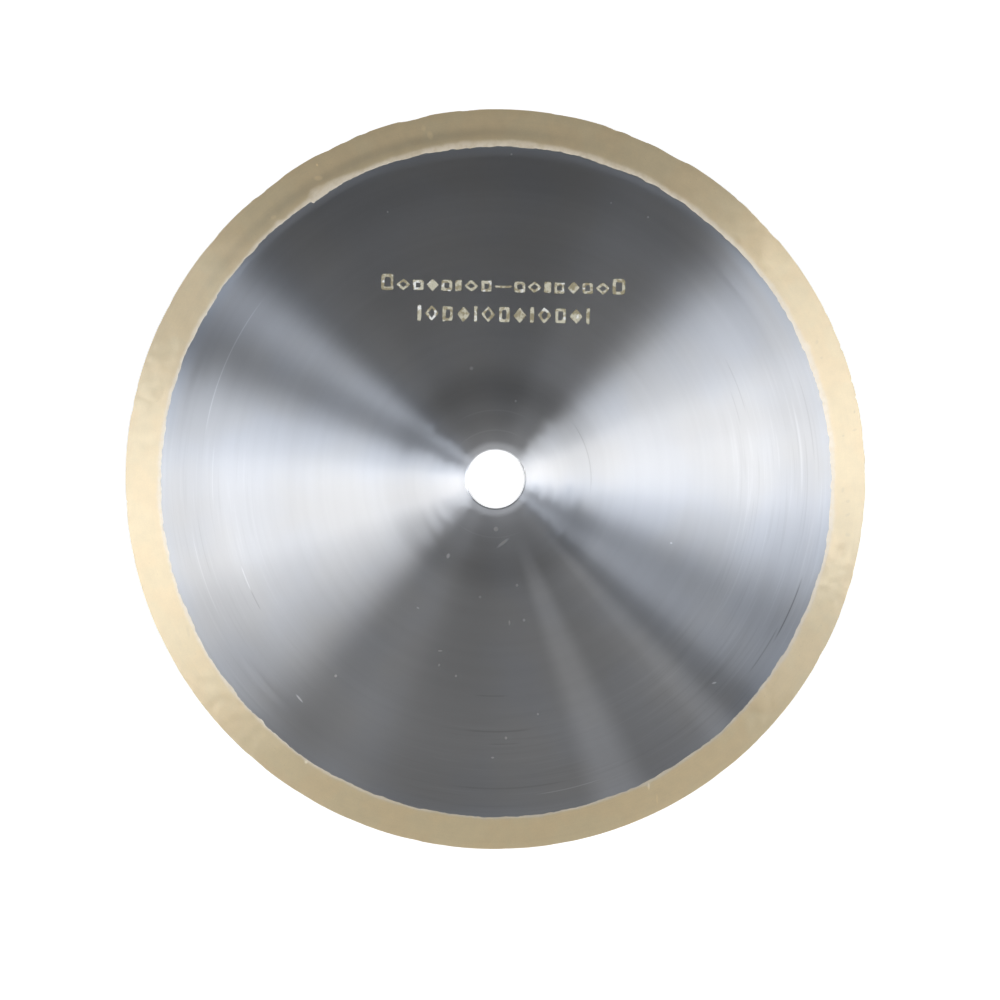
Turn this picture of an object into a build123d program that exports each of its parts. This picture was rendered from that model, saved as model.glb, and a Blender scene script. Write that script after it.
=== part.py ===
from build123d import *
from math import hypot
import os

# Metallographic cut-off wheel: a thin steel disc whose edge carries a sintered diamond rim.
# The wheel lies flat. The origin is the middle of the arbor bore, level with the rim's lower side,
# +Z points up along the arbor, and +Y is the side where the rim reaches furthest in over the disc.
# Lengths are in millimetres.

# Sizes that name the wheel
wheel_diameter = 160.0
rim_thickness = 0.50
bore_diameter = 12.7

# Steel disc
side_relief = 0.05  # each face of the disc lies this far below the rim's ground side
rim_depth = 5.0  # solid bond outside the disc's edge
bore_ease_width = 0.35  # eased mouth of the bore, measured along the face
bore_ease_depth = 0.08  # the same, measured along the arbor
flange_diameter = 41.0  # clamping flange, whose edge leaves a witness ring in the face
witness_width = 0.30
witness_depth = 0.02

# Dovetail notches round the disc's edge, which anchor the bond
notch_count = 72
notch_depth = 1.00
notch_floor = 1.30  # width at the bottom of a notch
notch_mouth = 0.90  # width where it opens in the edge

# Diamond rim
ground_overlap = 1.10  # the ground sides reach in over the disc's edge by this much
skirt_overlap = 2.52  # the unground skirts reach in further, by this much on average
skirt_step = 0.02  # a skirt's face lies this far below the ground side
skirt_shift_x = 0.10  # middle of the skirts' inner edge, away from the arbor's axis
skirt_shift_y = -0.56
corner_radius = 0.08  # outer corners of the rim, rounded by use

# Radii and levels that follow from the sizes above
bore_radius = bore_diameter / 2
flange_radius = flange_diameter / 2
rim_radius = wheel_diameter / 2
disc_radius = rim_radius - rim_depth
ground_radius = disc_radius - ground_overlap
skirt_radius = disc_radius - skirt_overlap
blank_radius = skirt_radius - skirt_overlap - hypot(skirt_shift_x, skirt_shift_y)

disc_low = side_relief
disc_high = rim_thickness - side_relief
disc_thickness = disc_high - disc_low
skirt_high = rim_thickness - skirt_step


def both_sides(upper):
    """Closes a half section: its upper points, then the same points on the wheel's lower side."""
    return upper + [(radius, rim_thickness - level) for radius, level in reversed(upper)]


def dovetail_notches(mode):
    """Draws every notch, from its floor out past the disc's edge, in the sketch that is open."""
    with PolarLocations(disc_radius, notch_count):
        Polygon(
            (-notch_depth, -notch_floor / 2),
            (0, -notch_mouth / 2),
            (notch_depth, -notch_mouth / 2),
            (notch_depth, notch_mouth / 2),
            (0, notch_mouth / 2),
            (-notch_depth, notch_floor / 2),
            mode=mode,
        )


# Steel disc: turned from its half section, with the notches milled through its edge
with BuildPart() as core_disc:
    with BuildSketch(Plane.XZ):
        with BuildLine():
            Polyline(
                *both_sides(
                    [
                        (bore_radius, disc_high - bore_ease_depth),
                        (bore_radius + bore_ease_width, disc_high),
                        (flange_radius, disc_high),
                        (flange_radius + witness_width / 2, disc_high - witness_depth),
                        (flange_radius + witness_width, disc_high),
                        (disc_radius, disc_high),
                    ]
                ),
                close=True,
            )
        make_face()
    revolve(axis=Axis.Z)
    with BuildSketch(Plane.XY.offset(disc_low)):
        dovetail_notches(Mode.ADD)
    extrude(amount=disc_thickness, mode=Mode.SUBTRACT)

# Diamond rim: a ring in half section, stepped from its ground sides down to its skirts
with BuildPart() as diamond_rim:
    with BuildSketch(Plane.XZ) as rim_section:
        with BuildLine():
            Polyline(
                *both_sides(
                    [
                        (blank_radius, skirt_high),
                        (ground_radius, skirt_high),
                        (ground_radius, rim_thickness),
                        (rim_radius, rim_thickness),
                    ]
                ),
                close=True,
            )
        make_face()
        fillet(rim_section.vertices().group_by(Axis.X)[-1], corner_radius)
    revolve(axis=Axis.Z)

    # The skirts end on a circle that is a little off centre
    with BuildSketch(Plane.XY):
        with Locations((skirt_shift_x, skirt_shift_y)):
            Circle(skirt_radius)
    extrude(amount=rim_thickness, mode=Mode.SUBTRACT)

    # The groove has the outline of the notched disc, so the bond fills every notch
    with BuildSketch(Plane.XY.offset(disc_low)):
        Circle(disc_radius)
        dovetail_notches(Mode.SUBTRACT)
    extrude(amount=disc_thickness, mode=Mode.SUBTRACT)

core_disc.part.label = "core_disc"
diamond_rim.part.label = "diamond_rim"

os.makedirs("parts", exist_ok=True)
export_step(core_disc.part, "parts/core_disc.step")
export_step(diamond_rim.part, "parts/diamond_rim.step")
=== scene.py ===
"""Dresses the metallographic cut-off wheel: turned steel disc, sintered bronze rim, etched signs, studio."""

import logging
from dataclasses import dataclass
from enum import Enum
from functools import partial, reduce
from math import atan2, cos, hypot, pi, radians, sin, tan
from typing import Sequence, Union

import bpy
import numpy as np
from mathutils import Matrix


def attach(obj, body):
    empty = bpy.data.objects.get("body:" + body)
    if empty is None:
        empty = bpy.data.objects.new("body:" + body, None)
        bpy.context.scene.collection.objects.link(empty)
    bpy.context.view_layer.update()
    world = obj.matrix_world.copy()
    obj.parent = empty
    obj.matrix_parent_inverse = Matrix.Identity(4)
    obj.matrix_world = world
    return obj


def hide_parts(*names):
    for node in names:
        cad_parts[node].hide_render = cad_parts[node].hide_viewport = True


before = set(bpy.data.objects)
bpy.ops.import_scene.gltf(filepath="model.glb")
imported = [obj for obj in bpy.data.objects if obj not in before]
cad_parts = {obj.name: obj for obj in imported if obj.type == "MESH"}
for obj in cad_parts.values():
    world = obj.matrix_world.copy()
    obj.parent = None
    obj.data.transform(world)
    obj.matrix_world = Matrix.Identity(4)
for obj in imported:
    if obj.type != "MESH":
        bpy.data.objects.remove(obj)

LOG = logging.getLogger("cut_off_wheel")
MM = 0.001
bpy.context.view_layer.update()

Colour = tuple[float, float, float]
Socket = bpy.types.NodeSocket
Operand = Union[Socket, float, Colour]


class Slot(Enum):
    """The record's material slots."""

    STEEL = "ground_steel"
    BOND = "bronze_bond"


class Node(Enum):
    """The solids that the dressed pieces stand for."""

    DISC = "core_disc"
    RIM = "diamond_rim"


class Outline(Enum):
    """Outlines of the etched signs: the power p in |x / a|^p + |y / b|^p = 1."""

    LOZENGE = 1.15
    SQUARE = 7.0


# Photograph's frame


@dataclass(frozen=True)
class PhotoFrame:
    """Where the wheel lies in the photograph, in pixels of its 1000 by 1000 frame."""

    size: float = 1000.0
    centre_x: float = 495.56
    centre_y: float = 479.12
    rim_radius: float = 370.15
    wheel_radius_mm: float = 80.0

    def place(self, x: float, y: float) -> tuple[float, float]:
        """Turns a pixel, from the upper left, into millimetres along +X and +Y from the wheel's axis."""
        scale = self.wheel_radius_mm / self.rim_radius
        return (x - self.centre_x) * scale, (self.centre_y - y) * scale


PHOTO = PhotoFrame()


# Meshes


def looped_mesh(name: str, points: np.ndarray, shares: dict[str, np.ndarray]) -> bpy.types.Object:
    """Closes grids of points into tubes that bite their own tails.

    In each grid, rows follow each other round a closed line, and the columns of a row go once round
    the section: outwards over the top, down, inwards underneath and up.

    Args:
        name: The piece's name.
        points: Places in metres, of shape (..., rows, columns, 3); leading axes are separate tubes.
        shares: Numbers to keep with the points, by attribute name, each of shape (..., rows, columns).

    Returns:
        The new object, smooth apart from its sharp edges.
    """
    index = np.arange(points[..., 0].size).reshape(points.shape[:-1])
    along = np.roll(index, -1, axis=-1)
    across = np.roll(index, -1, axis=-2)
    corner = np.roll(along, -1, axis=-2)
    quads = np.stack([index, along, corner, across], axis=-1).reshape(-1)
    piece = filled_mesh(name, points.reshape(-1, 3), quads, 4)
    for label, share in shares.items():
        layer = piece.data.attributes.new(label, "FLOAT", "POINT")
        layer.data.foreach_set("value", np.ascontiguousarray(share, dtype=np.float32).reshape(-1))
    piece.data.shade_smooth()
    piece.data.set_sharp_from_angle(angle=radians(32.0))
    return piece


def turned(radius: np.ndarray, height: np.ndarray) -> np.ndarray:
    """Carries a section round the axis: point (i, j) is (r cos a, r sin a, h) at a = 2 pi i / rows."""
    angle = np.linspace(0.0, 2.0 * pi, len(radius), endpoint=False)[:, None]
    return np.stack([radius * np.cos(angle), radius * np.sin(angle), height], axis=-1)


def filled_mesh(name: str, points: np.ndarray, corners: np.ndarray, sides: int) -> bpy.types.Object:
    """Puts arrays of points and equal-sided faces into a mesh.

    Args:
        name: The piece's name.
        points: Places in metres, one row a point.
        corners: Point numbers, face after face.
        sides: Corners of each face.

    Returns:
        The new object, linked to the scene.
    """
    mesh = bpy.data.meshes.new(name)
    mesh.vertices.add(len(points))
    mesh.vertices.foreach_set("co", np.ascontiguousarray(points, dtype=np.float32).reshape(-1))
    mesh.loops.add(len(corners))
    mesh.loops.foreach_set("vertex_index", np.ascontiguousarray(corners, dtype=np.int32))
    faces = len(corners) // sides
    mesh.polygons.add(faces)
    mesh.polygons.foreach_set("loop_start", np.arange(faces, dtype=np.int32) * sides)
    mesh.update(calc_edges=True)
    mesh.validate()
    piece = bpy.data.objects.new(name, mesh)
    bpy.context.scene.collection.objects.link(piece)
    return piece


def ragged(rows: int, length: float, waves: Sequence[tuple[float, float]], seed: int) -> np.ndarray:
    """Sums bands of smooth chance along a closed line.

    For each band, equally spaced knots get seeded values from -1 to 1, which are eased into each
    other by 3t^2 - 2t^3 and scaled by the band's height.

    Args:
        rows: Points on the line.
        length: The line's length in millimetres.
        waves: Pairs of knot spacing and height, in millimetres.
        seed: Seed of the chance.

    Returns:
        One offset in millimetres for each point.
    """
    chance = np.random.default_rng(seed)
    total = np.zeros(rows)
    for spacing, size in waves:
        knots = max(3, round(length / spacing))
        values = chance.uniform(-1.0, 1.0, knots)
        where = np.arange(rows) * knots / rows
        low = where.astype(int)
        part = where - low
        ease = part * part * (3.0 - 2.0 * part)
        total += size * (values[low] * (1.0 - ease) + values[(low + 1) % knots] * ease)
    return total


# Marks of wear


@dataclass(frozen=True)
class Arc:
    """A line along a ring, in millimetres and degrees; a shade below 0 is darker than its ground."""

    radius: float
    start: float
    end: float
    width: float
    shade: float


@dataclass(frozen=True)
class Fleck:
    """A speck, chip or smear; its long side leans so many degrees from the outward direction."""

    radius: float
    bearing: float
    length: float
    width: float
    shade: float
    lean: float = 0.0


@dataclass(frozen=True)
class Sector:
    """A wedge of the face with soft edges, in degrees, and what it gives inside them."""

    middle: float
    half: float
    soft: float
    amount: float = 1.0


@dataclass(frozen=True)
class Dent:
    """A short place on an edge, where it steps aside by a depth in millimetres."""

    bearing: float
    half_width: float
    depth: float

    def along(self, bearings: np.ndarray) -> np.ndarray:
        """Gives the offset at each bearing: depth (1 + cos(pi d / w)) / 2 within w degrees, else 0.

        Args:
            bearings: Degrees round the axis.

        Returns:
            Offsets in millimetres.
        """
        away = np.abs((bearings - self.bearing + 180.0) % 360.0 - 180.0)
        near = np.minimum(away / self.half_width, 1.0)
        return self.depth * 0.5 * (1.0 + np.cos(pi * near))


@dataclass(frozen=True)
class Flash:
    """A tongue of bond that starts within a few degrees at one bearing and runs out at another."""

    start: float
    end: float
    depth: float
    soft: float

    def along(self, bearings: np.ndarray) -> np.ndarray:
        """Gives the offset at each bearing: the depth at the start, and evenly less towards the end.

        Args:
            bearings: Degrees round the axis.

        Returns:
            Offsets in millimetres.
        """
        share = (bearings - self.end) / (self.start - self.end)
        fall = np.clip((self.start + self.soft - bearings) / self.soft, 0.0, 1.0)
        return self.depth * np.clip(share, 0.0, 1.0) * fall * fall * (3.0 - 2.0 * fall)


# Node trees


class Graph:
    """Short calls that add nodes to one tree."""

    def __init__(self, tree: bpy.types.NodeTree) -> None:
        """Takes over a tree."""
        self.tree = tree

    def feed(self, socket: Socket, value: Operand) -> None:
        """Links a socket, or sets it to a constant.

        Args:
            socket: An input.
            value: Another node's output, a number, a vector or a colour.
        """
        if isinstance(value, bpy.types.NodeSocket):
            self.tree.links.new(value, socket)
        elif socket.type == "RGBA":
            socket.default_value = (*value, 1.0)
        else:
            socket.default_value = value

    def node(self, kind: str, *operands: Operand, **options: str) -> bpy.types.Node:
        """Adds a node, sets its options and feeds the inputs that they leave in use.

        Args:
            kind: The end of its type's name.
            operands: What goes into its inputs, in order.
            options: Its options by name.

        Returns:
            The node.
        """
        node = self.tree.nodes.new("ShaderNode" + kind)
        for name, option in options.items():
            setattr(node, name, option)
        for socket, value in zip([item for item in node.inputs if item.enabled], operands):
            self.feed(socket, value)
        return node

    def math(self, operation: str, *operands: Operand) -> Socket:
        """Adds a Math node."""
        return self.node("Math", *operands, operation=operation).outputs[0]

    def times(self, *factors: Operand) -> Socket:
        """Multiplies numbers."""
        return reduce(partial(self.math, "MULTIPLY"), factors)

    def total(self, *parts: Operand) -> Socket:
        """Adds numbers up."""
        return reduce(partial(self.math, "ADD"), parts)

    def sway(self, chance: Socket, size: float) -> Socket:
        """Swings a chance from 0 to 1 round 0, and scales it to a size."""
        return self.times(self.math("SUBTRACT", chance, 0.5), size)

    def vector(self, operation: str, *operands: Operand) -> bpy.types.Node:
        """Adds a Vector Math node, for either of its outputs."""
        return self.node("VectorMath", *operands, operation=operation)

    def scale(self, vector: Operand, factor: Operand) -> Socket:
        """Multiplies a vector or a colour by a number."""
        return self.vector("SCALE", vector, factor).outputs["Vector"]

    def combine(self, x: Operand, y: Operand, z: Operand) -> Socket:
        """Joins three numbers to a vector."""
        return self.node("CombineXYZ", x, y, z).outputs[0]

    def noise(self, vector: Socket, scale: float = 1.0, detail: float = 2.0) -> Socket:
        """Gives chance round 0.5, mostly from 0.25 to 0.75, with so many features to one unit."""
        return self.node("TexNoise", vector, scale, detail).outputs["Fac"]

    def spots(self, vector: Socket, scale: float, size: float) -> Socket:
        """Gives round spots, 1 in their middles; their radius is a share of a Voronoi cell, one to each."""
        return self.fade(self.node("TexVoronoi", vector, scale).outputs["Distance"], 0.0, size)

    def fade(self, value: Operand, full: float, gone: float) -> Socket:
        """Eases from 1, where a value is full, to 0, where it is gone."""
        return self.node("MapRange", value, full, gone, 1.0, 0.0, interpolation_type="SMOOTHSTEP").outputs[0]

    def span(self, value: Operand, start: float, end: float, low: float = 0.0, high: float = 1.0) -> Socket:
        """Maps a value's range, from low to high, onto another, and stops at its ends."""
        return self.node("MapRange", value, low, high, start, end).outputs[0]

    def mix(self, share: Operand, first: Operand, second: Operand) -> Socket:
        """Blends two colours by the second one's share."""
        return self.node("Mix", share, first, second, data_type="RGBA").outputs[2]

    def bump(self, height: Socket, depth: float) -> Socket:
        """Turns a height from 0 to 1 into a normal.

        Args:
            height: The height.
            depth: Metres that 1 stands for.

        Returns:
            The normal.
        """
        node = self.node("Bump", 1.0, depth)
        self.feed(node.inputs["Height"], height)
        return node.outputs["Normal"]

    def attribute(self, name: str) -> Socket:
        """Reads a number that the mesh carries."""
        return self.node("Attribute", attribute_name=name).outputs["Fac"]


class Surface(Graph):
    """A new material's tree, with its output and a Principled shader."""

    def __init__(self, name: str) -> None:
        """Starts the material.

        Args:
            name: The material's name.
        """
        self.material = bpy.data.materials.new(name)
        self.material.use_nodes = True
        super().__init__(self.material.node_tree)
        self.tree.nodes.clear()
        self.shader = self.node("BsdfPrincipled")
        self.node("OutputMaterial", self.shader.outputs["BSDF"])

    def set(self, **values: Operand) -> None:
        """Feeds the shader's sockets, named with underscores for spaces."""
        for name, value in values.items():
            self.feed(self.shader.inputs[name.replace("_", " ")], value)


class Polar:
    """Places on the wheel's faces, in millimetres and degrees, read from Object coordinates."""

    def __init__(self, graph: Graph) -> None:
        """Works out the radius, the bearing and the directions.

        Args:
            graph: The tree that they're added to.
        """
        self.graph = graph
        self.place = graph.scale(graph.node("TexCoord").outputs["Object"], 1.0 / MM)
        x, y, self.level = graph.node("SeparateXYZ", self.place).outputs
        self.flat = graph.combine(x, y, 0.0)
        self.radius = graph.vector("LENGTH", self.flat).outputs["Value"]
        self.outward = graph.vector("NORMALIZE", self.flat).outputs["Vector"]
        self.bearing = graph.math("DEGREES", graph.math("ARCTAN2", y, x))

    def grooves(self, pitch: float, length: float) -> Socket:
        """Gives coordinates that change fast outwards and slowly round the axis.

        They are (u / length, v / length, r / pitch + 20 z), with (u, v) the outward direction, and z
        keeps the wheel's two sides apart.

        Args:
            pitch: Millimetres of radius to one unit.
            length: Radians to one unit.

        Returns:
            The coordinates.
        """
        rings = self.graph.math("DIVIDE", self.radius, pitch)
        deep = self.graph.math("MULTIPLY_ADD", self.level, 20.0, rings)
        slow = self.graph.scale(self.outward, 1.0 / length)
        return self.graph.vector("ADD", slow, self.graph.combine(0.0, 0.0, deep)).outputs["Vector"]

    def ring(self, radius: float, half_width: float) -> Socket:
        """Gives 1 on a circle and 0 at half a width from it."""
        away = self.graph.math("SUBTRACT", self.radius, radius)
        return self.graph.fade(self.graph.math("ABSOLUTE", away), 0.0, half_width)

    def sector(self, mark: Sector) -> Socket:
        """Marks a wedge.

        Args:
            mark: The wedge.

        Returns:
            Its amount inside and 0 outside.
        """
        away = self.graph.math("WRAP", self.graph.math("SUBTRACT", self.bearing, mark.middle), 180.0, -180.0)
        away = self.graph.math("ABSOLUTE", away)
        inside = self.graph.fade(away, mark.half - mark.soft / 2.0, mark.half + mark.soft / 2.0)
        return self.graph.times(inside, mark.amount)

    def sectors(self, marks: Sequence[Sector]) -> Socket:
        """Adds wedges up."""
        return self.graph.total(*map(self.sector, marks))

    def arc(self, mark: Arc) -> Socket:
        """Draws an arc.

        Args:
            mark: The arc.

        Returns:
            Its shade on its line, fading to 0 at its sides and ends.
        """
        middle, half = (mark.start + mark.end) / 2.0, (mark.end - mark.start) / 2.0
        along = self.sector(Sector(middle, 0.75 * half, 0.5 * half, mark.shade))
        return self.graph.times(self.ring(mark.radius, mark.width / 2.0), along)

    def fleck(self, mark: Fleck) -> Socket:
        """Gives a fleck's shade within its rounded outline.

        Args:
            mark: The fleck.

        Returns:
            Its shade at its middle, fading to 0 at its edge.
        """
        turn = radians(mark.bearing)
        lie = turn + radians(mark.lean)
        middle = (mark.radius * cos(turn), mark.radius * sin(turn), 0.0)
        away = self.graph.vector("SUBTRACT", self.flat, middle).outputs["Vector"]
        shares = []
        for side, size in ((lie, mark.length), (lie + pi / 2.0, mark.width)):
            axis = (cos(side) * 2.0 / size, sin(side) * 2.0 / size, 0.0)
            shares.append(self.graph.vector("DOT_PRODUCT", away, axis).outputs["Value"])
        spread = self.graph.vector("LENGTH", self.graph.combine(*shares, 0.0)).outputs["Value"]
        return self.graph.times(self.graph.fade(spread, 0.35, 1.0), mark.shade)

    def marks(self, marks: Sequence[Union[Arc, Fleck]]) -> Socket:
        """Sums the shades of arcs and flecks, on the upper side alone."""
        shades = [self.arc(mark) if isinstance(mark, Arc) else self.fleck(mark) for mark in marks]
        return self.graph.times(self.graph.total(*shades), self.graph.fade(self.level, 0.3, 0.2))

    def tangent(self, lean: Operand) -> Socket:
        """Gives the direction across the turning lines, leaned along them by a share.

        Its rise serves the upright walls, where the outward direction is the normal.

        Args:
            lean: Share of the direction along the lines.

        Returns:
            The direction.
        """
        along = self.graph.vector("CROSS_PRODUCT", (0.0, 0.0, 1.0), self.outward).outputs["Vector"]
        leaned = self.graph.vector("ADD", self.outward, self.graph.scale(along, lean)).outputs["Vector"]
        return self.graph.vector("ADD", leaned, (0.0, 0.0, 0.5)).outputs["Vector"]


# Finishes


@dataclass(frozen=True)
class TurnedSteel:
    """Lapped spring steel with fine rings, whose gleam spreads across the rings and not along them."""

    cool: Colour = (0.632, 0.646, 0.679)
    warm: Colour = (0.638, 0.642, 0.656)
    film: Colour = (0.61, 0.655, 0.73)
    roughness: float = 0.277
    uneven: float = 0.003
    relief: float = 0.003
    bore: float = 6.35
    edge: float = 72.6
    scratches: tuple = (
        Arc(63.5, 140.0, 173.0, 0.40, 0.22),
        Arc(58.1, 198.5, 204.8, 0.45, 0.22),
        Arc(58.1, 204.0, 209.5, 0.35, -0.20),
        Arc(66.6, 189.0, 208.0, 0.40, 0.10),
        Arc(64.9, 186.0, 200.0, 0.30, -0.08),
        Arc(61.2, 172.0, 186.0, 0.35, 0.08),
        Arc(69.6, -31.0, -17.0, 0.50, -0.35),
        Arc(68.9, -38.0, -27.0, 0.45, -0.22),
        Arc(56.0, 14.0, 28.5, 0.40, -0.12),
        Arc(54.2, 12.0, 21.0, 0.35, -0.10),
        Arc(69.0, 2.0, 20.0, 0.45, -0.10),
        Arc(66.2, -4.0, 16.0, 0.60, 0.09),
        Arc(67.4, -14.0, 10.0, 0.50, -0.08),
        Arc(20.65, -12.0, 40.0, 0.40, -0.16),
        Arc(68.7, 276.5, 290.0, 0.35, 0.30),
        Arc(46.9, 264.0, 274.0, 0.50, -0.14),
        Arc(54.6, 262.0, 279.0, 0.60, -0.16),
        Arc(57.3, 268.0, 276.0, 0.45, -0.12),
        Arc(66.9, 260.0, 286.0, 0.60, -0.12),
        Arc(10.6, 55.0, 140.0, 0.50, 0.14),
        Arc(14.9, 60.0, 125.0, 0.50, 0.12),
        Arc(12.6, 225.0, 300.0, 0.50, 0.10),
    )
    specks: tuple = (
        Fleck(10.8, 270.5, 1.3, 1.3, 0.75),
        Fleck(13.9, 276.5, 4.2, 0.9, 0.55, 122.0),
        Fleck(19.5, 238.3, 1.5, 1.0, 0.8, 10.0),
        Fleck(24.5, 102.3, 1.1, 1.1, 0.5),
        Fleck(17.4, 75.6, 0.7, 0.7, 0.7),
        Fleck(23.4, 281.4, 0.8, 0.8, 0.8),
        Fleck(31.2, 275.5, 1.2, 0.42, 5.5, -5.0),
        Fleck(31.1, 281.4, 0.9, 0.8, 0.5),
        Fleck(25.7, 262.5, 0.8, 0.8, 0.4),
        Fleck(32.5, 238.9, 0.9, 0.5, 0.5, 90.0),
        Fleck(39.0, 252.1, 1.1, 0.4, 3.0, 108.0),
        Fleck(42.0, 253.1, 0.7, 0.5, 2.0),
        Fleck(43.4, 258.6, 0.65, 0.6, 1.8),
        Fleck(56.0, 272.3, 0.75, 0.65, 2.6),
        Fleck(51.6, 280.2, 0.7, 0.6, 0.8),
        Fleck(60.2, 269.4, 0.9, 0.5, 0.8, 90.0),
        Fleck(54.8, 230.9, 0.75, 0.7, 2.2),
        Fleck(63.6, 228.2, 2.9, 0.55, 0.8, 82.0),
        Fleck(40.4, 340.0, 0.7, 0.6, 0.5),
        Fleck(64.6, 317.0, 1.3, 0.5, 1.0, 60.0),
        Fleck(65.5, 59.8, 0.6, 0.6, 0.9),
        Fleck(64.7, 67.3, 0.5, 0.5, 0.5),
        Fleck(62.3, 112.0, 0.6, 0.5, 0.8),
        Fleck(70.3, 87.2, 0.6, 0.6, 0.8),
    )
    # Painted highlights: narrow bright wedges where lamps reflect off the rings, and a painted dark gap at
    # 318 degrees.
    rays: tuple = (
        Sector(291.5, 4.0, 6.0, 0.34),
        Sector(312.0, 2.2, 3.5, 0.14),
        Sector(318.0, 2.5, 3.0, -0.08),
    )
    thick_film: Sector = Sector(98.0, 60.0, 30.0, 0.105)
    thin_film: float = 0.015
    blue_film: Sector = Sector(98.0, 65.0, 30.0, 0.6)
    least_blue: float = 0.2
    # Painted highlight in the two bright wedges and painted shade at the top and lower right, on the worn
    # ring round the flange's witness.
    worn_ring_painted_light: tuple = (
        Sector(4.0, 20.0, 16.0, 0.12),
        Sector(184.0, 20.0, 16.0, 0.12),
        Sector(90.0, 42.0, 20.0, -0.07),
        Sector(330.0, 14.0, 14.0, -0.07),
    )
    rubbed_all_round: float = -0.18
    rubbed_radius: float = 20.0
    rubbed_half_width: float = 7.0
    # Painted shade: the outer face darker at the edges of the left bright wedge.
    corners: tuple = (Sector(216.0, 16.0, 14.0, -0.08), Sector(149.0, 12.0, 14.0, -0.08))
    stroked: tuple = (
        Sector(-22.0, 42.0, 36.0, 0.05),
        Sector(200.0, 30.0, 30.0, 0.03),
        Sector(270.0, 22.0, 30.0, 0.035),
    )
    # Painted shadow: a dark line on the bore's mouth from the left round the bottom to the right.
    painted_bore_shadow: Sector = Sector(-62.0, 96.0, 24.0, -0.9)
    bands: tuple = ((6.35, 15.35, 0.22), (46.0, 32.0, -0.05), (67.0, 56.0, -0.12))

    def build(self) -> bpy.types.Material:
        """Builds the material.

        Returns:
            The finished material.
        """
        graph = Surface("turned_steel")
        polar = Polar(graph)
        fine = graph.noise(polar.grooves(0.9, 2.4), 1.0, 1.0)
        broad = graph.noise(polar.grooves(2.4, 0.9), 1.0, 1.0)
        rough = self.roughness
        graph.set(
            Metallic=graph.math("SUBTRACT", 1.0, self.dullness(graph, polar, broad)),
            Roughness=graph.span(broad, rough - self.uneven, rough + self.uneven, 0.3, 0.7),
            Anisotropic=1.0,
            Tangent=polar.tangent(self.lean(graph, polar)),
            Base_Color=self.colour(graph, polar, fine, broad),
            Normal=graph.bump(broad, self.relief * MM),
        )
        return graph.material

    def lean(self, graph: Graph, polar: Polar) -> Socket:
        """Works out how far the turning lines waver, which is most towards the edge and the bore.

        Args:
            graph: The tree.
            polar: Places on the face.

        Returns:
            Share of the direction along the lines.
        """
        slow = graph.noise(polar.grooves(2.4, 2.5), 1.0, 1.0)
        quick = graph.noise(polar.grooves(1.4, 0.5), 1.0, 1.0)
        inner = graph.times(graph.fade(polar.radius, 14.0, 28.0), 2.0)
        where = graph.total(graph.fade(polar.radius, 72.0, 54.0), inner)
        return graph.total(graph.sway(slow, 0.03), graph.times(graph.sway(quick, 0.12), where))

    def dullness(self, graph: Graph, polar: Polar, broad: Socket) -> Socket:
        """Sums the dull film beside the rim, round the bore and on the bore's worn mouth.

        Args:
            graph: The tree.
            polar: Places on the face.
            broad: Chance in wide rings.

        Returns:
            Share of the surface that the film covers.
        """
        film = graph.total(polar.sector(self.thick_film), self.thin_film)
        patchy = graph.times(self.beside_rim(graph, polar), film, graph.fade(broad, 0.70, 0.30))
        round_bore = graph.times(graph.fade(polar.radius, self.bore + 1.0, self.bore + 7.5), 0.062)
        mouth = graph.times(graph.fade(polar.radius, self.bore + 0.7, self.bore + 2.3), 0.25)
        return graph.total(patchy, round_bore, mouth)

    def beside_rim(self, graph: Graph, polar: Polar) -> Socket:
        """Gives 1 at the rim's inner edge and 0 a few millimetres further in."""
        return graph.fade(polar.radius, self.edge - 0.4, self.edge - 3.6)

    def colour(self, graph: Graph, polar: Polar, fine: Socket, broad: Socket) -> Socket:
        """Shades the steel by its rings, strokes, scratches and specks, with painted highlights in the rays,
        painted highlight and shade on the worn ring, painted shade in the corner wedges and a painted shadow
        on the bore's mouth.

        Args:
            graph: The tree.
            polar: Places on the face.
            fine: Chance in fine rings.
            broad: Chance in wide rings.

        Returns:
            The base colour.
        """
        cloud = graph.noise(polar.place, 0.045, 2.0)
        steel = graph.mix(graph.fade(cloud, 0.62, 0.38), self.warm, self.cool)
        hazy = graph.total(polar.sector(self.blue_film), self.least_blue)
        steel = graph.mix(graph.times(self.beside_rim(graph, polar), hazy), steel, self.film)
        # The worn ring's tone: a darker rub all round, with painted highlight and painted shade by bearing.
        worn_ring_painted_light = graph.total(polar.sectors(self.worn_ring_painted_light), self.rubbed_all_round)
        tones = [
            1.0,
            graph.sway(fine, 0.04),
            graph.sway(broad, 0.06),
            *(graph.times(graph.fade(polar.radius, full, gone), tone) for full, gone, tone in self.bands),
            graph.times(polar.ring(self.rubbed_radius, self.rubbed_half_width), worn_ring_painted_light),
            # Painted shade towards the edge in the corner wedges.
            graph.times(polar.sectors(self.corners), graph.fade(polar.radius, 62.0, 36.0)),
            self.strokes(graph, polar),
            # Painted highlights and a painted dark gap along the rays, outwards from the bore.
            graph.times(polar.sectors(self.rays), graph.fade(polar.radius, 26.0, 12.0)),
            # Painted shadow on the bore's mouth.
            graph.times(polar.ring(self.bore, 0.42), polar.sector(self.painted_bore_shadow)),
            polar.marks(self.scratches + self.specks),
        ]
        return graph.scale(steel, graph.math("MAXIMUM", graph.total(*tones), 0.05))

    def strokes(self, graph: Graph, polar: Polar) -> Socket:
        """Draws short pale and dark strokes along the rings, well out on the face.

        Args:
            graph: The tree.
            polar: Places on the face.

        Returns:
            Their tone.
        """
        chance = graph.noise(polar.grooves(0.55, 0.30), 1.0, 1.0)
        either = graph.math("SUBTRACT", graph.fade(chance, 0.72, 0.58), graph.fade(chance, 0.28, 0.42))
        return graph.times(either, graph.fade(polar.radius, 56.0, 47.0), polar.sectors(self.stroked))


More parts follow.
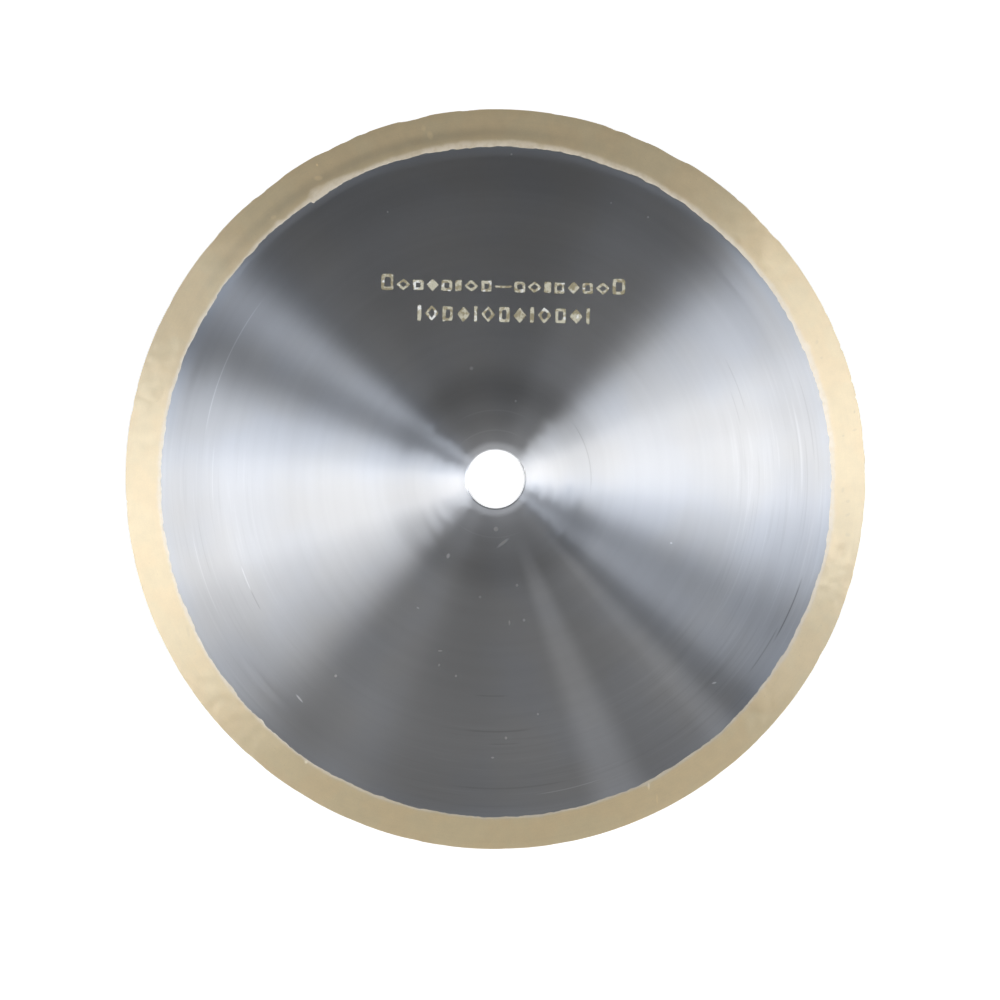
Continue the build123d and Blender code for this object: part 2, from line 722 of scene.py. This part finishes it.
@dataclass(frozen=True)
class SinteredBond:
    """Bronze bond with diamond grit: ground on the sides, unground on the skirt, which is paler, partly from
    its own colour and partly from a painted highlight.
    """

    tan: Colour = (0.778, 0.608, 0.342)
    olive: Colour = (0.765, 0.615, 0.355)
    # Pale skirt colour: partly the unground bond's own colour, partly a painted highlight on the lip.
    skirt: Colour = (0.88, 0.77, 0.60)
    roughness: float = 0.45
    smears: tuple = (
        Fleck(75.6, 100.8, 2.4, 1.7, 0.16, 15.0),
        Fleck(77.4, 101.6, 1.6, 1.4, 0.10),
        Fleck(75.5, 120.5, 2.6, 1.5, 0.20, 60.0),
        Fleck(78.1, 119.6, 0.8, 0.6, 0.35),
        Fleck(74.2, 130.3, 1.8, 1.2, 0.12, 70.0),
        Fleck(73.6, 236.2, 0.9, 0.9, 0.30),
        Fleck(74.2, 296.5, 1.9, 0.7, 0.30, -26.0),
        Fleck(77.4, 296.8, 2.8, 0.5, 0.14, -26.0),
        Fleck(74.2, 206.4, 3.6, 0.9, -0.08, 75.0),
        Fleck(75.5, 23.1, 1.4, 0.9, -0.09, 60.0),
        Fleck(75.2, 20.4, 0.9, 0.7, -0.10, 20.0),
        Fleck(75.7, 7.1, 0.8, 0.6, -0.12),
        Fleck(78.4, 7.8, 1.5, 0.5, -0.12, 15.0),
        Fleck(78.9, 10.6, 1.0, 0.6, -0.14, 70.0),
        Fleck(75.1, -1.8, 1.6, 0.9, -0.09, 80.0),
        Fleck(76.3, -3.6, 1.3, 1.0, -0.10, 20.0),
        Fleck(76.5, -5.8, 1.8, 0.8, -0.10, 40.0),
        Fleck(77.1, -9.0, 1.5, 1.2, -0.10),
    )
    # Painted light and shade by bearing: darker at the top, lighter at the bottom, the two bright wedges
    # dimmed and a lighter shoulder at 41 degrees.
    sides: tuple = (
        Sector(93.0, 42.0, 44.0, -0.16),
        Sector(270.0, 60.0, 50.0, 0.07),
        Sector(6.0, 15.0, 16.0, -0.08),
        Sector(185.0, 9.0, 14.0, -0.06),
        Sector(41.0, 6.0, 10.0, 0.10),
    )
    shadow: Sector = Sector(110.0, 30.0, 32.0, -0.17)
    shadow_radius: float = 74.9
    shadow_half_width: float = 2.0
    # Painted shade: the lip darker at the front, towards -Y.
    painted_lip_shade: Sector = Sector(295.0, 50.0, 50.0, -0.24)

    def build(self) -> bpy.types.Material:
        """Builds the material.

        Returns:
            The finished material.
        """
        graph = Surface("sintered_bond")
        polar = Polar(graph)
        uneven = graph.noise(polar.place, 0.9, 3.0)
        lip = graph.times(graph.attribute("lip"), graph.span(uneven, 0.65, 1.0, 0.32, 0.56))
        grit = graph.noise(polar.place, 3.2, 2.0)
        rings = graph.noise(polar.grooves(0.22, 0.35))
        graph.set(
            Metallic=graph.span(lip, 0.41, 0.12),
            Roughness=graph.span(lip, self.roughness, self.roughness + 0.08),
            Anisotropic=1.0,
            IOR=2.42,
            Specular_IOR_Level=1.0,
            Tangent=polar.tangent(graph.sway(graph.noise(polar.place, 0.5), 0.3)),
            Base_Color=self.colour(graph, polar, lip, grit, rings),
            Normal=graph.bump(self.relief(graph, polar, lip, grit, rings), 0.012 * MM),
        )
        return graph.material

    def relief(self, graph: Graph, polar: Polar, lip: Socket, grit: Socket, rings: Socket) -> Socket:
        """Adds up the height of grit, grinding rings and the lumps of the unground skirt."""
        lumps = graph.times(graph.noise(polar.place, 1.3, 3.0), graph.times(lip, 3.0))
        return graph.total(graph.times(grit, 0.5), graph.times(rings, 0.5), lumps)

    def colour(self, graph: Graph, polar: Polar, lip: Socket, grit: Socket, rings: Socket) -> Socket:
        """Shades the bond: tan and olive patches, grains, grinding rings, pits and smears, with a painted
        shadow beside the lip, painted light and shade by bearing, and a pale skirt that is partly a painted
        highlight.

        Args:
            graph: The tree.
            polar: Places on the face.
            lip: Share of unground bond, which also carries the skirt's painted highlight.
            grit: Chance in grains.
            rings: Chance in fine rings.

        Returns:
            The base colour.
        """
        patches = graph.noise(polar.place, 0.11, 3.0)
        ground = graph.mix(graph.fade(patches, 0.58, 0.42), self.tan, self.olive)
        # The pale skirt, partly a painted highlight that is brightest at the lip's inner edge.
        ground = graph.mix(lip, ground, self.skirt)
        cloud = graph.noise(polar.place, 0.35, 3.0)
        pits = graph.times(graph.spots(polar.place, 0.8, 0.16), graph.fade(cloud, 0.64, 0.52), -0.15)
        dark = polar.ring(self.shadow_radius, self.shadow_half_width)
        shadow = graph.times(dark, polar.sector(self.shadow))
        # face: the painted shadow beside the lip plus the painted light and shade of the ground bond by
        # bearing.
        face = graph.total(shadow, polar.sectors(self.sides))
        tones = [
            1.0,
            graph.sway(grit, 0.10),
            graph.sway(rings, 0.06),
            graph.sway(cloud, 0.16),
            pits,
            # Painted light and shade on the ground bond, kept off the lip.
            graph.times(graph.math("SUBTRACT", 1.0, lip), face),
            # Painted shade on the lip at the front.
            graph.times(lip, polar.sector(self.painted_lip_shade)),
            polar.marks(self.smears),
        ]
        return graph.scale(ground, graph.total(*tones))


@dataclass(frozen=True)
class EtchedOxide:
    """The pale, worn oxide of an etched sign, with white patches that are partly bare and partly painted
    glints, and dark at its edges.
    """

    cream: Colour = (0.56, 0.53, 0.41)
    gold: Colour = (0.31, 0.27, 0.17)
    # White patches: partly bare worn spots, partly painted glints.
    bare_and_glint: Colour = (0.82, 0.82, 0.78)
    # Dark colour at the signs' edges.
    edge_dark: Colour = (0.06, 0.06, 0.05)

    def build(self) -> bpy.types.Material:
        """Builds the material.

        Returns:
            The finished material.
        """
        graph = Surface("etched_oxide")
        polar = Polar(graph)
        worn = graph.noise(polar.place, 0.9, 3.0)
        thin = graph.noise(polar.place, 0.5, 2.0)
        oxide = graph.mix(graph.fade(worn, 0.60, 0.44), self.cream, self.gold)
        # White patches, partly bare spots and partly painted glints.
        oxide = graph.mix(graph.fade(thin, 0.68, 0.58), oxide, self.bare_and_glint)
        edge = graph.math("POWER", graph.attribute("edge"), 2.0)
        graph.set(
            Base_Color=graph.mix(graph.times(edge, 0.75), oxide, self.edge_dark),
            Roughness=graph.span(worn, 0.5, 0.75),
            Metallic=0.15,
            Normal=graph.bump(graph.noise(polar.place, 4.0, 3.0), 0.004 * MM),
        )
        return graph.material


# Pieces


@dataclass
class SteelDisc:
    """The thin steel disc, from the eased mouths of its bore to its edge inside the rim."""

    bore: float = 6.35
    ease_width: float = 0.35
    ease_depth: float = 0.08
    witness: float = 20.5
    witness_width: float = 0.30
    witness_depth: float = 0.0025
    edge: float = 74.98
    low: float = 0.05
    high: float = 0.45
    rows: int = 720

    def section(self) -> np.ndarray:
        """Lists the section's points, top side first.

        The mouth is rounded, the flange's witness groove is a shallow hollow, and loops close to
        both keep the flat between them flat.

        Returns:
            Rows of radius and height in millimetres.
        """
        mouth = np.array([[0.0, 1.0], [0.3, 0.5], [0.65, 0.14], [1.0, 0.0]])
        mouth = [self.bore, self.high] + mouth * [self.ease_width, -self.ease_depth]
        share = np.array([[0.0, 0.0], [0.25, 0.7], [0.5, 1.0], [0.75, 0.7], [1.0, 0.0]])
        groove = [self.witness, self.high] + share * [self.witness_width, -self.witness_depth]
        beside = np.array(
            [self.bore + self.ease_width, self.witness - 0.12, self.witness + self.witness_width]
        )
        plain = np.concatenate([[14.0, 30.0, 42.0, 54.0, 66.0, self.edge], beside + 0.06])
        plain = np.column_stack([plain, np.full(len(plain), self.high)])
        upper = np.vstack([mouth, plain, groove])
        upper = upper[np.argsort(upper[:, 0], kind="stable")]
        lower = upper[::-1] * [1.0, -1.0] + [0.0, self.low + self.high]
        return np.vstack([upper, lower])

    def build(self) -> bpy.types.Object:
        """Makes the disc and dresses it.

        Returns:
            The disc.
        """
        section = self.section() * MM
        radius, height = (np.tile(section[:, k], (self.rows, 1)) for k in range(2))
        piece = looped_mesh("turned_disc", turned(radius, height), {})
        piece.data.materials.append(TurnedSteel().build())
        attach(piece, "root")
        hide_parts(Node.DISC.value)
        return piece


@dataclass
class BondRim:
    """The sintered rim: ground sides, a lower unground skirt with a ragged edge, a gritty outer wall."""

    outside: float = 79.97
    skirt: float = 72.48
    shift_x: float = 0.10
    shift_y: float = -0.56
    back_widths: tuple = ((0, 1.0), (20, 1.2), (45, 0.85), (70, 1.15), (90, 1.35), (112, 1.05), (140, 0.6))
    front_widths: tuple = ((180, 0.7), (225, 0.45), (270, 0.45), (315, 0.55))
    least_skirt: float = 0.38
    groove: float = 75.0
    disc_low: float = 0.05
    disc_high: float = 0.45
    thick: float = 0.50
    skirt_step: float = 0.02
    corner: float = 0.08
    rows: int = 2400
    edge_waves: tuple = ((9.0, 0.10), (3.2, 0.10), (1.4, 0.13), (0.6, 0.08))
    step_waves: tuple = ((14.0, 0.12), (4.0, 0.14), (1.2, 0.12))
    wear_waves: tuple = ((6.5, 0.28), (2.2, 0.16), (0.8, 0.04))
    tongues: tuple = (Flash(123.4, 118.5, -0.50, 0.25),)
    flashes: tuple = (Flash(122.6, 112.5, 1.15, 1.6),)
    blotches: tuple = (
        Dent(130.3, 1.3, 0.55),
        Dent(236.2, 0.5, 0.5),
        Dent(296.5, 0.4, 0.7),
        Dent(23.0, 1.2, 0.5),
    )
    nicks: tuple = (
        Dent(20.8, 0.6, 0.22),
        Dent(15.4, 0.5, 0.20),
        Dent(12.8, 0.4, 0.16),
        Dent(183.5, 0.3, 0.15),
    )

    def bearings(self) -> np.ndarray:
        """Lists the bearing of each row, in degrees from -180 to 180."""
        return (np.arange(self.rows) * 360.0 / self.rows + 180.0) % 360.0 - 180.0

    def round_edge(self) -> np.ndarray:
        """Works out the skirt's inner edge before chance makes it ragged.

        It is a circle off the axis, r = s cos(t) + sqrt(R^2 - s^2 sin^2(t)), with s the shift's length
        and t the angle from its direction.

        Returns:
            Its distance from the axis at each row, in millimetres.
        """
        shift = hypot(self.shift_x, self.shift_y)
        turn = np.radians(self.bearings()) - atan2(self.shift_y, self.shift_x)
        return shift * np.cos(turn) + np.sqrt(self.skirt**2 - (shift * np.sin(turn)) ** 2)

    def side(self, seed: int, features: bool) -> tuple[np.ndarray, np.ndarray, np.ndarray]:
        """Works out one side of the section all the way round, as if it were the upper one.

        Args:
            seed: Seed of the ragged edges.
            features: Whether the tongues and blotches of the upper side are on it.

        Returns:
            Radii and heights in millimetres, and the share of unground bond, which also grades the skirt's
            painted highlight.
        """
        bearings = self.bearings()
        circle = 2.0 * pi * self.skirt
        inner = self.round_edge() + ragged(self.rows, circle, self.edge_waves, seed)
        known, widths = np.array(self.back_widths + self.front_widths).T
        step = self.round_edge() + np.interp(bearings % 360.0, known, widths, period=360.0)
        step += ragged(self.rows, circle, self.step_waves, seed + 1)
        step = np.maximum(step, inner + self.least_skirt)
        if features:
            inner += sum(mark.along(bearings) for mark in self.tongues)
            step += sum(mark.along(bearings) for mark in self.flashes + self.blotches)
        top = self.thick - self.skirt_step
        swell = ragged(self.rows, circle, ((2.5, 0.004), (0.8, 0.003)), seed + 2)
        columns = [
            (inner, self.disc_high, 1.0),
            (inner + 0.03, self.disc_high + 0.014, 1.0),
            (inner + 0.09, self.disc_high + 0.024, 1.0),
            (0.75 * inner + 0.25 * step, top - 0.001 + swell, 0.95),
            (0.40 * inner + 0.60 * step, top + 0.5 * swell, 0.75),
            (0.15 * inner + 0.85 * step, top + 0.3 * swell, 0.50),
            (step - 0.02, self.thick - 0.008, 0.30),
            (step + 0.15, self.thick - 0.001, 0.12),
            (step + 0.45, self.thick, 0.0),
            (76.5, self.thick, 0.0),
            (78.3, self.thick, 0.0),
        ]
        worn = self.worn_edge(bearings)
        for turn in np.linspace(0.0, pi / 2.0, 4):
            drop = self.corner * (1.0 - cos(turn))
            columns.append((worn - self.corner * (1.0 - sin(turn)), self.thick - drop, 0.0))
        radius, height, lip = (
            np.array([np.broadcast_to(column[k], self.rows) for column in columns]).T for k in range(3)
        )
        return radius, height, lip

    def worn_edge(self, bearings: np.ndarray) -> np.ndarray:
        """Wears the outer wall inwards by chance, most on the side towards +Y, and nicks it.

        Args:
            bearings: Degrees round the axis.

        Returns:
            The wall's distance from the axis at each row, in millimetres.
        """
        wear = ragged(self.rows, 2.0 * pi * self.outside, self.wear_waves, 5)
        share = 0.6 + 0.4 * np.sin(np.radians(bearings))
        nicks = sum(mark.along(bearings) for mark in self.nicks)
        return self.outside - np.maximum(wear, 0.0) * share - nicks

    def build(self) -> bpy.types.Object:
        """Makes the rim and dresses it.

        Returns:
            The rim.
        """
        over, high, lip = self.side(11, True)
        under, low, lower_lip = self.side(31, False)
        seat = np.array([[self.groove, self.disc_low - 0.0002], [self.groove, self.disc_high + 0.0002]])
        seat_radius, seat_height = (np.tile(seat[:, k], (self.rows, 1)) for k in range(2))
        radius = np.hstack([over, under[:, ::-1], seat_radius]) * MM
        height = np.hstack([high, self.thick - low[:, ::-1], seat_height]) * MM
        share = np.hstack([lip, lower_lip[:, ::-1], np.zeros_like(seat_radius)])
        piece = looped_mesh("bonded_rim", turned(radius, height), {"lip": share})
        piece.data.materials.append(SinteredBond().build())
        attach(piece, "root")
        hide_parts(Node.RIM.value)
        return piece


@dataclass(frozen=True)
class Sign:
    """One etched sign: its outline, its size and the width of its line, which may fill it."""

    outline: Outline
    width: float
    height: float
    line: float
    lift: float = 0.0


@dataclass
class EtchedRow:
    """A row of plain signs, etched into the disc's upper side one after another."""

    name: str
    start: tuple[float, float]
    end: tuple[float, float]
    signs: tuple[Sign, ...]
    seed: int
    face: float = 0.45
    proud: float = 0.006
    sunk: float = 0.004
    wobble: tuple = ((1.1, 0.09), (0.5, 0.06))
    least_line: float = 0.12
    points: int = 72

    def outlines(self) -> np.ndarray:
        """Works out the edges of every sign from the outline's formula, made a little ragged.

        The edge at angle t is (a |cos t|^(2/p), b |sin t|^(2/p)) with the signs of cos t and sin t.

        Returns:
            Places in millimetres, of shape (signs, points, columns, 2), columns from the hole outwards.
        """
        turn = np.linspace(0.0, 2.0 * pi, self.points, endpoint=False)
        grids = []
        for number, sign in enumerate(self.signs):
            power = 2.0 / sign.outline.value
            unit = np.stack([np.sign(f) * np.abs(f) ** power for f in (np.cos(turn), np.sin(turn))], axis=-1)
            half = np.array([sign.width, sign.height]) / 2.0
            hole = np.maximum(half - sign.line, 0.02)
            rough = [
                ragged(self.points, 10.0, self.wobble, self.seed + 2 * number + k)[:, None] for k in range(2)
            ]
            inner = unit * hole
            if sign.line < half.min():
                inner = unit * np.minimum(hole + rough[0], half - self.least_line)
            outer = unit * (half + rough[1])
            columns = [inner, 0.75 * inner + 0.25 * outer, 0.22 * inner + 0.78 * outer, outer]
            grids.append(np.stack(columns, axis=1))
        return np.array(grids)

    def build(self) -> bpy.types.Object:
        """Sets the signs along the row's line and makes them thin plates.

        Returns:
            The row.
        """
        way = np.subtract(self.end, self.start)
        along = way / np.hypot(*way)
        up = np.array([-along[1], along[0]])
        widths = np.array([sign.width for sign in self.signs])
        gap = (np.hypot(*way) - widths.sum()) / (len(widths) - 1)
        middles = np.cumsum(widths + gap) - gap - widths / 2.0
        lifts = np.array([sign.lift + sign.height / 2.0 for sign in self.signs])
        flat = self.outlines() + np.stack([middles, lifts], axis=-1)[:, None, None, :]
        place = self.start + flat[..., :1] * along + flat[..., 1:] * up
        faces = []
        for level in (self.face + self.proud, self.face - self.sunk):
            faces.append(np.concatenate([place, np.full(place.shape[:-1] + (1,), level)], axis=-1))
        grid = np.concatenate([faces[0], faces[1][:, :, ::-1]], axis=2)
        edge = np.broadcast_to(np.array([0.6, 0.0, 0.0, 1.0, 1.0, 0.0, 0.0, 0.6]), grid.shape[:-1])
        piece = looped_mesh(self.name, grid * MM, {"edge": edge})
        piece.data.materials.append(EtchedOxide().build())
        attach(piece, "root")
        return piece


def upper_row() -> EtchedRow:
    """Lays out the longer row: low signs between a few tall ones, with a dash past its middle.

    Returns:
        The row.
    """
    tall = Sign(Outline.SQUARE, 2.7, 3.4, 0.72)
    low = (
        Sign(Outline.LOZENGE, 2.9, 2.5, 0.68),
        Sign(Outline.SQUARE, 2.3, 2.4, 0.66),
        Sign(Outline.SQUARE, 1.5, 2.4, 2.0),
        Sign(Outline.LOZENGE, 2.6, 2.6, 2.0),
    )
    dash = Sign(Outline.SQUARE, 3.6, 0.45, 2.0, 1.0)
    order = (0, 1, 3, 1, 2, 0, 1)
    first = tuple(low[k] for k in order)
    signs = (tall, *first, dash, *reversed(first), tall)
    return EtchedRow("etched_upper_row", (-24.75, 40.95), (27.95, 39.85), signs, 101)


def lower_row() -> EtchedRow:
    """Lays out the shorter row of even, tall signs.

    Returns:
        The row.
    """
    pattern = (
        Sign(Outline.SQUARE, 0.8, 3.4, 2.0),
        Sign(Outline.LOZENGE, 2.9, 3.4, 0.74),
        Sign(Outline.SQUARE, 2.3, 3.3, 0.70),
        Sign(Outline.LOZENGE, 2.7, 3.2, 2.0),
    )
    signs = tuple(pattern[k % 4] for k in range(13))
    return EtchedRow("etched_lower_row", (-16.95, 34.25), (20.40, 33.50), signs, 301)


# Studio


PALE_BLUE: Colour = (0.95, 1.0, 1.08)


@dataclass(frozen=True)
class Panel:
    """A soft lamp that faces the wheel from afar; its strength is its radiance."""

    name: str
    bearing: float
    wide: float
    strength: float
    colour: Colour = (1.0, 1.0, 1.0)
    height: float = 48.0
    tall: float = 40.0
    away: float = 2.5

    def build(self) -> bpy.types.Object:
        """Hangs the lamp, with a power of its radiance times pi times its area.

        Returns:
            The lamp.
        """
        turn, rise = radians(self.bearing), radians(self.height)
        data = bpy.data.lights.new(self.name, "AREA")
        data.shape = "RECTANGLE"
        data.size = 2.0 * self.away * tan(radians(self.wide / 2.0)) * cos(rise)
        data.size_y = 2.0 * self.away * tan(radians(self.tall / 2.0))
        data.energy = self.strength * pi * data.size * data.size_y
        data.color = self.colour
        lamp = bpy.data.objects.new(self.name, data)
        level = self.away * cos(rise)
        lamp.location = (level * cos(turn), level * sin(turn), self.away * sin(rise))
        lamp.rotation_euler = (pi / 2.0 - rise, 0.0, turn + pi / 2.0)
        bpy.context.scene.collection.objects.link(lamp)
        return lamp


@dataclass
class Studio:
    """Pale floor, soft lamps and the camera straight above."""

    lens: float = 85.0
    sensor: float = 36.0
    floor_size: float = 12.0
    floor_glow: float = 0.4
    lit_within: float = 600.0
    unlit_from: float = 3000.0
    room_grey: float = 0.015
    white_below: float = 0.08
    grey_above: float = 0.24
    panels: tuple = (
        Panel("right_window_1", -18.0, 6.0, 1.38, PALE_BLUE),
        Panel("right_window_2", -9.0, 12.0, 2.98, PALE_BLUE),
        Panel("right_window_3", 3.0, 12.0, 4.15),
        Panel("right_window_4", 15.0, 12.0, 3.35),
        Panel("right_window_5", 30.0, 18.0, 2.72, PALE_BLUE),
        Panel("right_window_6", 42.0, 6.0, 0.50, PALE_BLUE),
        Panel("back_right", 57.0, 24.0, 0.13, PALE_BLUE),
        Panel("back", 99.0, 60.0, 0.06, PALE_BLUE),
        Panel("left_lamp", 144.0, 6.0, 2.58, PALE_BLUE),
        Panel("left_lamp_side", 150.0, 6.0, 0.60, PALE_BLUE),
        Panel("left_window_1", 162.0, 6.0, 1.62, PALE_BLUE),
        Panel("left_window_2", 171.0, 12.0, 2.92, PALE_BLUE),
        Panel("left_window_3", 186.0, 18.0, 3.75),
        Panel("left_window_4", 201.0, 12.0, 2.92),
        Panel("left_window_5", 213.0, 12.0, 2.20),
        Panel("left_window_6", 222.0, 6.0, 1.34),
        Panel("front_left_1", 234.0, 18.0, 0.93),
        Panel("front_left_2", 258.0, 30.0, 0.87),
        Panel("front", 279.0, 12.0, 0.60),
        Panel("front_right", 297.0, 24.0, 0.95),
        Panel("front_lamp", 312.0, 6.0, 1.10),
        Panel("right_corner", 330.0, 18.0, 1.26, PALE_BLUE),
    )

    def floor(self) -> None:
        """Lays a pale floor that stays white to the eye and keeps the wheel's shadow."""
        half = self.floor_size / 2.0
        corners = half * np.array([[-1.0, -1.0], [1.0, -1.0], [1.0, 1.0], [-1.0, 1.0]])
        points = np.column_stack([corners, np.full(4, -0.02 * MM)])
        piece = filled_mesh("floor", points, np.arange(4), 4)
        graph = Surface("floor_paper")
        polar = Polar(graph)
        rays = graph.node("LightPath").outputs
        seen = graph.math("MAXIMUM", rays["Is Camera Ray"], rays["Is Glossy Ray"])
        seen = graph.math("MAXIMUM", seen, rays["Is Transmission Ray"])
        glow = graph.span(graph.fade(polar.radius, self.lit_within, self.unlit_from), 1.0, self.floor_glow)
        graph.set(
            Base_Color=graph.mix(graph.noise(polar.place, 0.4, 3.0), (0.80,) * 3, (0.83,) * 3),
            Roughness=0.9,
            Emission_Color=(1.0, 1.0, 1.0),
            Emission_Strength=graph.times(seen, glow),
        )
        piece.data.materials.append(graph.material)

    def room(self) -> None:
        """Fills the room with a dim grey; the eye and low reflections meet a white wall instead.

        The wall ends softly between two heights, which are sines of the angle above the floor.
        """
        world = bpy.data.worlds.new("room")
        bpy.context.scene.world = world
        world.use_nodes = True
        graph = Graph(world.node_tree)
        height = graph.node("SeparateXYZ", graph.node("TexCoord").outputs["Generated"]).outputs["Z"]
        wall = graph.fade(height, self.white_below, self.grey_above)
        rays = graph.node("LightPath").outputs
        mirrored = graph.math("MAXIMUM", rays["Is Glossy Ray"], rays["Is Transmission Ray"])
        white = graph.math("MAXIMUM", graph.times(mirrored, wall), rays["Is Camera Ray"])
        colour = graph.mix(white, (self.room_grey,) * 3, (1.0, 1.0, 1.0))
        graph.feed(graph.tree.nodes["Background"].inputs["Color"], colour)

    def camera(self) -> None:
        """Sets the camera above the wheel, so that the rim falls on its circle in the photograph."""
        focal = self.lens / self.sensor * PHOTO.size
        away = focal * PHOTO.wheel_radius_mm / PHOTO.rim_radius
        across, up = PHOTO.place(PHOTO.size / 2.0, PHOTO.size / 2.0)
        data = bpy.data.cameras.new("camera")
        data.lens = self.lens
        data.sensor_width = self.sensor
        data.clip_start = 0.01
        data.clip_end = 100.0
        camera = bpy.data.objects.new("camera", data)
        camera.location = (across * MM, up * MM, (away + 0.5) * MM)
        bpy.context.scene.collection.objects.link(camera)
        bpy.context.scene.camera = camera

    def build(self) -> None:
        """Sets up the floor, the room, the lamps and the camera."""
        self.floor()
        self.room()
        for panel in self.panels:
            panel.build()
        self.camera()
        bpy.context.scene.view_settings.view_transform = "Standard"


def main() -> None:
    """Builds the wheel and its studio in order."""
    logging.basicConfig(level=logging.INFO, format="%(name)s: %(message)s")
    for part in (SteelDisc(), BondRim(), upper_row(), lower_row()):
        piece = part.build()
        LOG.info("%s: %d faces", piece.name, len(piece.data.polygons))
    Studio().build()


if __name__ == "__main__":
    main()
